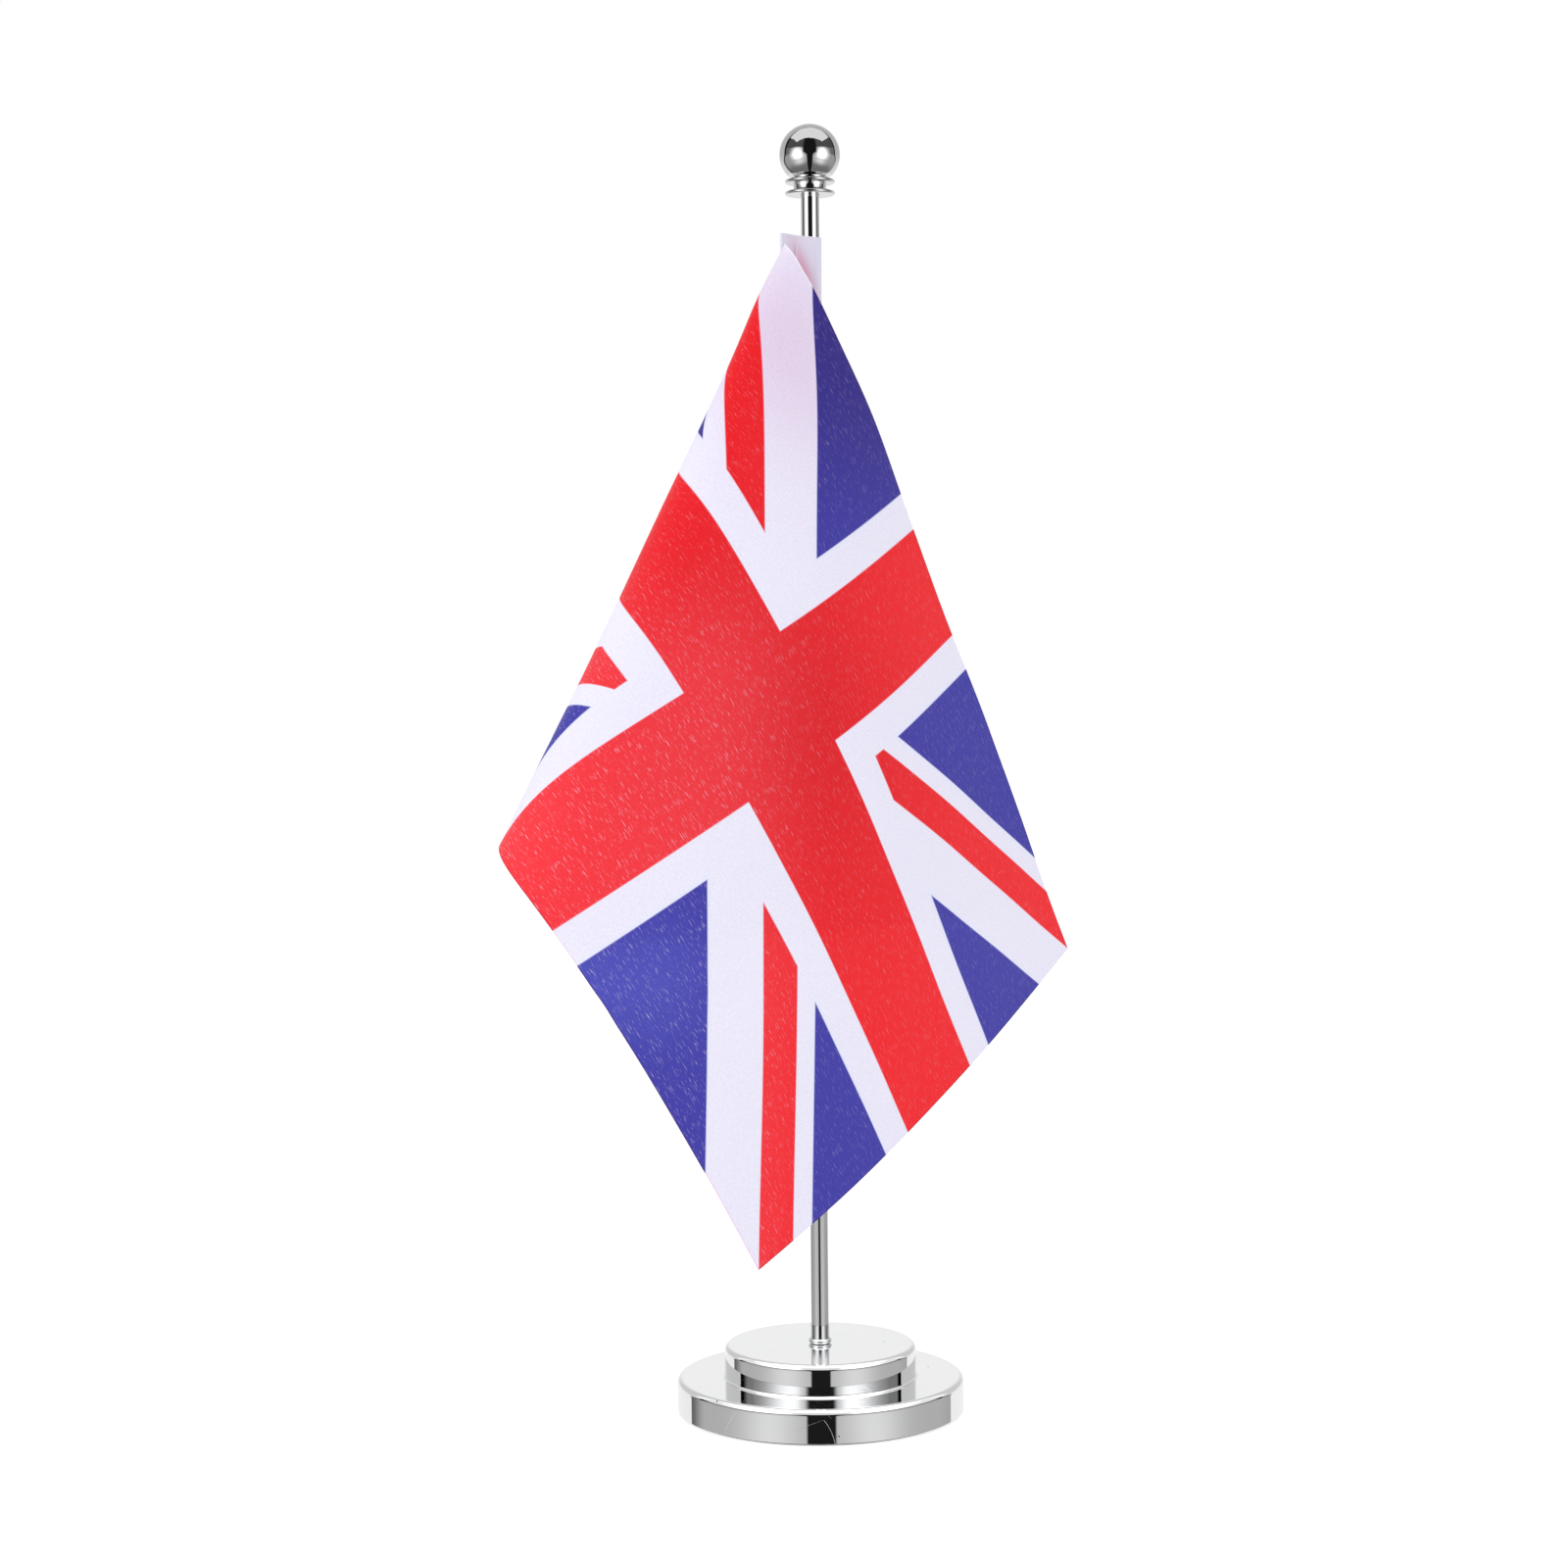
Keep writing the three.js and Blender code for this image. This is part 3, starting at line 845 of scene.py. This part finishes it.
# ---- How the cloth hangs: the same straight lines through one apex as the frame's cloth ----
FLAG_LENGTH = 210.0
FLAG_HEIGHT = 140.0
SLEEVE_COVERS = 11.5  # of the flag's length
CLOTH_LENGTH = FLAG_LENGTH - SLEEVE_COVERS
CLOTH_THICKNESS = 0.3
SLEEVE_REACH = 10.1  # from the pole's axis to where the printed cloth starts
SLEEVE_DIRECTION = 228.0  # degrees, as seen from above
APEX_RISE = 27.8  # of the lines' common point, above the top edge
APEX_BACK = 15.6  # and behind the seam
HEADING = -156.8  # degrees, of the cloth as it leaves the sleeve
FOLD_ANGLE = 29.8  # degrees, from the hoist to the fold's middle line
FOLD_WIDTH = 5.7
FOLD_TURN = -157.0
FRONT_BEND = (-1.75, 0.92, 1.57)  # past the fold, by powers of the share of the way to 90 degrees
LINE_STEP = 0.1  # degrees
FLAG_TOP = high("flag_sleeve")


def bend_at(angle):
    """Bend of the cloth across its straight lines: turn per unit of angle, at an angle in degrees."""
    from_fold = (angle - FOLD_ANGLE) / FOLD_WIDTH
    peak = math.radians(FOLD_TURN) / (math.radians(FOLD_WIDTH) * math.sqrt(math.pi))
    on_front = 1 / (1 + math.exp(-2 * from_fold))
    along = min(max((angle - FOLD_ANGLE) / (90 - FOLD_ANGLE), 0), 1)
    front = FRONT_BEND[0] + FRONT_BEND[1] * along + FRONT_BEND[2] * along * along
    return peak * math.exp(-from_fold * from_fold) + on_front * front


def straight_lines():
    """Angles from the hoist in degrees, and the directions and normals of the cloth's lines there."""
    heading = math.radians(HEADING)
    direction = Vector((0, 0, -1))
    across = Vector((math.cos(heading), math.sin(heading), 0))
    normal = direction.cross(across)
    directions, normals = [direction.copy()], [normal.copy()]
    count = round(90 / LINE_STEP)
    for i in range(count):
        axis = direction * bend_at((i + 0.5) * LINE_STEP) + normal
        turn = Matrix.Rotation(axis.length * math.radians(LINE_STEP), 3, axis)
        direction, normal = turn @ direction, turn @ normal
        directions.append(direction.copy())
        normals.append(normal.copy())
    return np.linspace(0, 90, count + 1), np.array(directions), np.array(normals)


def hanging(u, v):
    """Where points of the flat cloth hang, and their normals. u counts from the seam, v down from the
    top edge, in millimetres."""
    angles, directions, normals = straight_lines()
    seam, heading = math.radians(SLEEVE_DIRECTION), math.radians(HEADING)
    apex_x = SLEEVE_REACH * math.cos(seam) - APEX_BACK * math.cos(heading)
    apex_y = SLEEVE_REACH * math.sin(seam) - APEX_BACK * math.sin(heading)
    apex = np.array((apex_x, apex_y, FLAG_TOP + APEX_RISE))
    at = np.degrees(np.arctan2(u + APEX_BACK, v + APEX_RISE))
    reach = np.hypot(u + APEX_BACK, v + APEX_RISE)
    direction = np.stack([np.interp(at, angles, directions[:, k]) for k in range(3)], axis=-1)
    normal = np.stack([np.interp(at, angles, normals[:, k]) for k in range(3)], axis=-1)
    return apex + reach[..., None] * direction, normal


def smooth(value, start, end):
    """0 at start and 1 at end, smooth between them."""
    share = np.clip((value - start) / (end - start), 0, 1)
    return share * share * (3 - 2 * share)


def settled(place, u, v):
    """The hanging cloth after it has settled: it spreads low down, draws in below the sleeve, and its
    top corner sags a little."""
    x, z = place[..., 0], place[..., 2]
    from_corner = np.hypot(u, v)
    spread = 0.028 * (x + 10) * smooth(z, 215, 150)
    pinch = -0.075 * (x + 18) * np.exp(-(((z - 268) / 20) ** 2)) * np.clip(u / 10, 0, 1)
    corner_out = -0.7 * np.exp(-((from_corner / 15) ** 2))
    corner_down = -1.5 * np.exp(-((from_corner / 12) ** 2))
    place = place.copy()
    place[..., 0] += spread + pinch + corner_out
    place[..., 2] += corner_down
    return place


def ripples(u, v):
    """Small unevenness of the hanging cloth, in millimetres, fading towards the sleeve, and one soft
    crease that runs up from the lower edge."""
    waves = 0.22 * np.sin(u / 17.0 + 0.6 * np.sin(v / 23.0))
    waves += 0.16 * np.sin(v / 13.0 + u / 41.0 + 1.3)
    waves += 0.07 * np.sin(u / 6.1 - v / 9.3)
    from_crease = (u - 128 - (FLAG_HEIGHT - v) * 0.45) / 3.5
    crease = 0.5 * np.exp(-(from_crease**2)) * smooth(v, 108, 136)
    return waves * np.clip(u / 30, 0, 1) + crease


def make_cloth(printed, through):
    """A closed thin sheet over an even grid of the flat cloth. Its map coordinates are the flat
    cloth's own, so the print and the weave follow the threads."""
    step = 1.0
    u = np.linspace(0, CLOTH_LENGTH, round(CLOTH_LENGTH / step) + 1)
    v = np.linspace(0, FLAG_HEIGHT, round(FLAG_HEIGHT / step) + 1)
    grid_u, grid_v = np.meshgrid(u, v)
    place, normal = hanging(grid_u, grid_v)
    place = settled(place + normal * ripples(grid_u, grid_v)[..., None], grid_u, grid_v)
    rows, columns = grid_u.shape
    half = normal * CLOTH_THICKNESS / 2
    points = np.concatenate([(place + half).reshape(-1, 3), (place - half).reshape(-1, 3)])
    flat = np.stack([(grid_u + SLEEVE_COVERS) / FLAG_LENGTH, 1 - grid_v / FLAG_HEIGHT], -1)
    flat = np.tile(flat.reshape(-1, 2), (2, 1))
    faces, materials = [], []

    def face(material_index, *corners):
        """A face between corners given as side, row and column of the grid."""
        faces.append(tuple(s * rows * columns + r * columns + c for s, r, c in corners))
        materials.append(material_index)

    for r in range(rows - 1):
        for c in range(columns - 1):
            face(0, (0, r, c), (0, r + 1, c), (0, r + 1, c + 1), (0, r, c + 1))
            face(1, (1, r, c), (1, r, c + 1), (1, r + 1, c + 1), (1, r + 1, c))
    for r in range(rows - 1):
        end = columns - 1
        face(0, (0, r, 0), (1, r, 0), (1, r + 1, 0), (0, r + 1, 0))
        face(0, (0, r, end), (0, r + 1, end), (1, r + 1, end), (1, r, end))
    for c in range(columns - 1):
        end = rows - 1
        face(0, (0, 0, c), (0, 0, c + 1), (1, 0, c + 1), (1, 0, c))
        face(0, (0, end, c), (1, end, c), (1, end, c + 1), (0, end, c + 1))
    mesh = bpy.data.meshes.new("flag_cloth_printed")
    mesh.from_pydata((points * MM).tolist(), [], faces)
    corner_points = np.empty(len(mesh.loops), np.int32)
    mesh.loops.foreach_get("vertex_index", corner_points)
    flat_map = mesh.uv_layers.new(name="flat")
    flat_map.data.foreach_set("uv", flat[corner_points].astype(np.float32).ravel())
    mesh.shade_smooth()
    mesh.set_sharp_from_angle(angle=math.radians(60))
    piece = link("flag_cloth_printed", mesh, printed, "flag", "flag_cloth")
    piece.data.materials.append(through)
    mesh.polygons.foreach_set("material_index", materials)
    mesh.update()
    return piece


# ---- The flag's print, in millimetres on the flat cloth ----
CROSS_HALF = 14.5  # half the width of both bars of the upright cross
CROSS_WHITE = 9.4  # of its white border
THIN_WHITE = 5.4
RED_DIAGONAL = 9.5
BROAD_WHITE = 14.6
INK_EDGE = 0.22
THREAD_SPACING = 0.36

WHITE_CLOTH = srgb(236, 233, 250)
# painted pink light, from the red of the layer behind showing through
PAINTED_PINK_SHOW_THROUGH = srgb(220, 196, 224)
# the red ink, and a darker copy of it for painted shade high up on the hanging cloth
RED_INK_IN_PAINTED_SHADE, RED_INK_LOW = srgb(232, 8, 20), srgb(243, 20, 30)
# painted shade on the red, round the middle of the flag
PAINTED_SHADE_RED = srgb(214, 6, 22)
# painted sheen on the red, on the lower left
PAINTED_SHEEN_RED = srgb(246, 66, 76)
# the blue ink, and a darker copy of it for painted shade high up on the hanging cloth
BLUE_INK_IN_PAINTED_SHADE, BLUE_INK_LOW = srgb(45, 32, 130), srgb(60, 56, 165)
# painted sheen on the blue
PAINTED_SHEEN_BLUE = srgb(96, 106, 214)
BLUE_HALO = srgb(226, 232, 255)
PALE_THREAD = srgb(236, 222, 246)
DARK_GRAIN = (0.02, 0.0, 0.03)
CUT_INKED = (0.05, 0.0, 0.03)
CUT_BELOW, CUT_ABOVE = srgb(236, 188, 214), srgb(252, 250, 255)


def inks(x, y):
    """How far inside the red and the blue a point of the flat flag is, from its middle."""
    cross = (CROSS_HALF - abs(x)).most(CROSS_HALF - abs(y))
    slope = FLAG_HEIGHT / FLAG_LENGTH
    same = (x * y).maths("SIGN")
    offset = (y - same * x * slope) * x.maths("SIGN") * -1 / math.hypot(1, slope)
    red_band = offset.least(RED_DIAGONAL - offset)
    white_band = (offset + BROAD_WHITE).least(RED_DIAGONAL + THIN_WHITE - offset)
    clear = -(cross + CROSS_WHITE)
    return cross.most(red_band.least(clear)), clear.least(-white_band)


def cloth_material(name, strength):
    """Printed woven cloth. strength is how much of the ink shows on this side."""
    made, tree, shader = material(name)
    flat = tree.nodes.new("ShaderNodeUVMap")
    flat.uv_map = "flat"
    along, up, _ = parts(tree, flat.outputs[0])
    u = along * FLAG_LENGTH
    v = (1 - up) * FLAG_HEIGHT
    x = u - FLAG_LENGTH / 2
    y = v - FLAG_HEIGHT / 2
    red, blue = inks(x, y)
    red_ink = red.step(-INK_EDGE, INK_EDGE) * strength
    blue_ink = blue.step(-INK_EDGE, INK_EDGE) * strength
    inked = red_ink + blue_ink

    # Noise in the threads, and what changes with the place on the hanging cloth.
    place = node(tree, "ShaderNodeCombineXYZ", X=u, Y=v).outputs[0]
    cloud = noise(tree, place, 0.03, 3)
    grain = noise(tree, place, 1.6, 3, 0.7)
    slub = noise(tree, place, 0.55, 2, 0.6, (0.75, 7.0, 1)).step(0.58, 0.71)
    across, _, height = parts(tree, place_in_object(tree), MM)
    # Lower left of the hanging cloth: painted sheen on the red, and more pale slubs.
    sheen_and_slub_patch = across.step(5, -25) * height.step(215, 175)
    # A band low on the left of the hanging cloth, where sheen is painted on the blue.
    painted_sheen_band = across.step(-15, -38) * height.bump(112, 15)
    # Round the middle of the flag, where shade is painted on the red.
    painted_shade_middle = x.bump(0, 52) * y.bump(0, 40)
    # High up on the hanging cloth, where shade is painted on the inks.
    painted_shade_high_up = height.step(195, 262)

    # The bare cloth, with a pale halo round the blue, and painted pink light from the layer behind near the
    # fold.
    colour = mixed(tree, cloud, tuple(c * 0.975 for c in WHITE_CLOTH), WHITE_CLOTH)
    colour = mixed(tree, blue.bump(-0.5, 0.45) * 0.6, colour, BLUE_HALO)
    # Painted light: the red of the layer behind, shining through the white cloth near the fold.
    through = (u - SLEEVE_COVERS).bump(20, 30) * v.bump(17, 22) * 0.75
    colour = mixed(tree, through, colour, PAINTED_PINK_SHOW_THROUGH)

    # The inks, with painted shade and painted sheen on them, and the pale slub threads in them.
    # Painted shade: the red and the blue are darker high up on the hanging cloth.
    colour = mixed(tree, red_ink, colour, mixed(tree, painted_shade_high_up, RED_INK_LOW, RED_INK_IN_PAINTED_SHADE))
    colour = mixed(tree, blue_ink, colour, mixed(tree, painted_shade_high_up, BLUE_INK_LOW, BLUE_INK_IN_PAINTED_SHADE))
    # Painted sheen: a lighter band across the blue on the lower left.
    colour = mixed(tree, blue_ink * painted_sheen_band * 0.28, colour, PAINTED_SHEEN_BLUE)
    # Painted shade: the red is darker round the middle, where the hanging cloth is hollow.
    colour = mixed(tree, red_ink * painted_shade_middle * 0.85, colour, PAINTED_SHADE_RED)
    # Painted sheen: the red is paler on the lower left, where the fold faces the light.
    colour = mixed(tree, red_ink * sheen_and_slub_patch * 0.5, colour, PAINTED_SHEEN_RED)
    # Pale slub threads, more of them on the lower left, where they add to the painted sheen.
    colour = mixed(tree, inked * slub * blend(sheen_and_slub_patch, 0.18, 0.40), colour, PALE_THREAD)
    colour = mixed(tree, (1 - grain.step(0.30, 0.75)) * 0.10, colour, DARK_GRAIN)

    # The cut edges: darker where they are inked, pink below and bright above where they are bare.
    below = (FLAG_HEIGHT - v).step(0.35, 0.1)
    above = v.step(0.3, 0.1)
    cut = below.most(above).most((FLAG_LENGTH - u).step(0.35, 0.1))
    inked_share = inked.least(1)
    colour = mixed(tree, cut * inked_share * 0.35, colour, CUT_INKED)
    colour = mixed(tree, below * (1 - inked_share) * 0.5, colour, CUT_BELOW)
    colour = mixed(tree, above * (1 - inked_share) * 0.7, colour, CUT_ABOVE)
    tree.links.new(colour, shader.inputs["Base Color"])

    tree.links.new(blend(grain, 0.52, 0.66).socket, shader.inputs["Roughness"])
    set_inputs(shader, Specular_IOR_Level=0.18, Sheen_Weight=0.08, Sheen_Roughness=0.45)
    warp, weft = ((t * (2 * math.pi / THREAD_SPACING)).maths("SINE") for t in (u, v))
    raised(tree, shader, warp * weft * 0.35 + grain * 0.5 + slub * 0.7, 0.00006, 0.7)
    return made


def plain_cloth_material():
    """The sleeve's white cloth, with painted pink reflected light near its top, beside the fold."""
    made, tree, shader = material("sleeve_cloth")
    place = place_in_object(tree)
    cloud = noise(tree, place, 40, 3)
    grain = noise(tree, place, 1600, 3, 0.7)
    colour = mixed(tree, cloud, srgb(212, 207, 225), srgb(221, 216, 233))
    colour = mixed(tree, (1 - grain.step(0.3, 0.75)) * 0.08, colour, srgb(150, 146, 170))
    x, y, z = parts(tree, place, MM)
    # Painted reflection: pink light from the flag's red falls on the sleeve beside the fold.
    painted_pink_reflection = (x + 3.2 + (z - 281) * 0.36).bump(0, 1.7) * z.bump(277, 6) * y.step(0.5, -0.5)
    colour = mixed(tree, painted_pink_reflection * 0.75, colour, srgb(214, 146, 174))
    tree.links.new(colour, shader.inputs["Base Color"])
    tree.links.new(blend(grain, 0.55, 0.7).socket, shader.inputs["Roughness"])
    set_inputs(shader, Specular_IOR_Level=0.25, Sheen_Weight=0.18, Sheen_Roughness=0.45)
    raised(tree, shader, grain, 0.00006, 0.6)
    return made


def thread_material():
    colours = (srgb(214, 212, 226), srgb(244, 242, 250))
    return grained_material("thread", (2500, 2, 0.5), colours, (0.45, 0.65), 0.00004)


# ---- Sleeve ----
SLEEVE_RADIUS = 2.62
SLEEVE_LAYER = 0.3
SLEEVE_WAVER = 0.06
SEAM_DISTANCE = 5.4  # from the pole's axis


def sleeve_outline():
    """Outer outline of the sleeve's section and the pocket inside it, +X away from the pole."""
    tip = SLEEVE_REACH - GAP - 0.2
    leave = math.acos(SLEEVE_RADIUS / SEAM_DISTANCE)
    turn = np.linspace(leave, 2 * math.pi - leave, 49)
    layer = SLEEVE_LAYER
    outer = [(SEAM_DISTANCE - layer, layer)]
    outer += [(SLEEVE_RADIUS * math.cos(a), SLEEVE_RADIUS * math.sin(a)) for a in turn]
    outer += [(SEAM_DISTANCE - layer, -layer)]
    outer += [(x, -layer) for x in np.linspace(SEAM_DISTANCE, tip, 9)]
    outer += [(x, layer) for x in np.linspace(tip, SEAM_DISTANCE, 9)]
    small = SLEEVE_RADIUS - layer
    inner = [(small * math.cos(a), small * math.sin(a)) for a in turn]
    inner += [(SEAM_DISTANCE - 3 * layer, 0)]
    return outer, inner


def make_sleeve(cloth):
    """The sewn tube. Its section is the frame's, with edges that waver a little along its height and a
    top that is cut at a slant and leans out beside the fold."""
    bottom, top = low("flag_sleeve"), high("flag_sleeve")
    heights = np.linspace(bottom, top, 71)
    turn = math.radians(SLEEVE_DIRECTION)
    work = bmesh.new()

    def placed(x, y, z, waver):
        """A vertex from a point of the section at a height."""
        angle, from_top = math.atan2(y, x), top - z
        swell = waver * math.sin(z / 7.0 + 2 * angle) * min(1, math.hypot(x, y) / 4)
        px, py = x + swell * math.cos(angle), y + swell * math.sin(angle)
        wx = px * math.cos(turn) - py * math.sin(turn)
        wy = px * math.sin(turn) + py * math.cos(turn)
        wx -= 0.7 * math.exp(-((from_top / 15) ** 2)) * min(1, max(0, x) / SLEEVE_REACH) ** 2
        slant = (0.8 - 0.04 * wx) * max(0, 1 - from_top / 20)
        return work.verts.new((wx * MM, wy * MM, (z + slant) * MM))

    outer, inner = sleeve_outline()
    outside = [[placed(x, y, z, SLEEVE_WAVER) for x, y in outer] for z in heights]
    inside = [[placed(x, y, z, 0) for x, y in inner] for z in heights]
    for rows, flip in ((outside, False), (inside, True)):
        for lower, upper in zip(rows, rows[1:]):
            band(work, lower, upper, flip)
    for end in (0, -1):
        rim = []
        for loop in (outside[end], inside[end]):
            rim += [work.edges.get(pair) for pair in zip(loop, loop[1:] + loop[:1])]
        bmesh.ops.triangle_fill(work, edges=rim, use_beauty=True)
    bmesh.ops.recalc_face_normals(work, faces=work.faces)
    mesh = finished("flag_sleeve_sewn", work, 50)
    return link("flag_sleeve_sewn", mesh, cloth, "flag", "flag_sleeve")


STITCH_PITCH = 2.6
STITCH_SHARE = 0.84  # of the pitch that one stitch covers
STITCH_RADIUS = 0.13
STITCH_LIFT = 0.34  # of its ends, out from the seam's middle
STITCH_BOW = 0.16
STITCH_STEPS = 8  # along a stitch and round it


def make_stitches(thread):
    """A row of lock stitches through both layers: short bowed lengths of thread on each face."""
    turn = math.radians(SLEEVE_DIRECTION)
    away = Vector((math.cos(turn), math.sin(turn), 0))
    out = Vector((-math.sin(turn), math.cos(turn), 0))
    bottom, top = low("sleeve_stitching"), high("sleeve_stitching")
    starts = [bottom + (i + 0.08) * STITCH_PITCH for i in range(int((top - bottom) / STITCH_PITCH))]
    work = bmesh.new()
    for side in (1, -1):
        for start in starts:
            rows = []
            for i in range(STITCH_STEPS + 1):
                share = i / STITCH_STEPS
                lift = STITCH_LIFT + STITCH_BOW * math.sin(math.pi * share)
                centre = away * (SEAM_DISTANCE + 0.2) + out * (side * lift)
                centre.z = start + STITCH_SHARE * share * STITCH_PITCH
                row = []
                for k in range(STITCH_STEPS):
                    angle = 2 * math.pi * k / STITCH_STEPS
                    offset = (away * math.cos(angle) + out * math.sin(angle)) * STITCH_RADIUS
                    row.append(work.verts.new((centre + offset) * MM))
                rows.append(row)
            tube(work, rows)
    bmesh.ops.recalc_face_normals(work, faces=work.faces)
    mesh = finished("sleeve_stitches", work, 70)
    return link("sleeve_stitches", mesh, thread, "flag", "sleeve_stitching")


# ---- Build ----
bpy.context.scene.view_settings.view_transform = "Standard"
make_camera()
make_floor()
make_world()
make_panels()
make_canopy()
make_lights()

base_chrome = chrome_material("chrome_base", 0.86, marked=True)
pole_chrome = chrome_material("chrome_pole", 0.69)
finial_chrome = chrome_material("chrome_finial", 0.62)
steel, brass = steel_material(), brass_material()
rubber, foam = rubber_material(), foam_material()
make_base(base_chrome, foam, steel)
make_pole(pole_chrome)
make_stud("pole_foot_stud", "foot_stud", steel)
make_stud("finial_stud", "top_stud", steel)
make_finial(finial_chrome)
make_stop(rubber)
cloth = make_cloth(cloth_material("flag_cloth", 1.0), cloth_material("flag_cloth_reverse", 0.9))
sleeve = make_sleeve(plain_cloth_material())
stitches = make_stitches(thread_material())
for soft in (cloth, sleeve, stitches):
    soft.visible_glossy = False  # the polished metal stays grey, as in the studio

# The CAD nodes inside the base stay, with better materials.
for name in ("base_weight_lower", "base_weight_upper", "base_washer", "base_nut", "base_bush"):
    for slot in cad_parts[name].material_slots:
        slot.material = brass if name == "base_bush" else steel
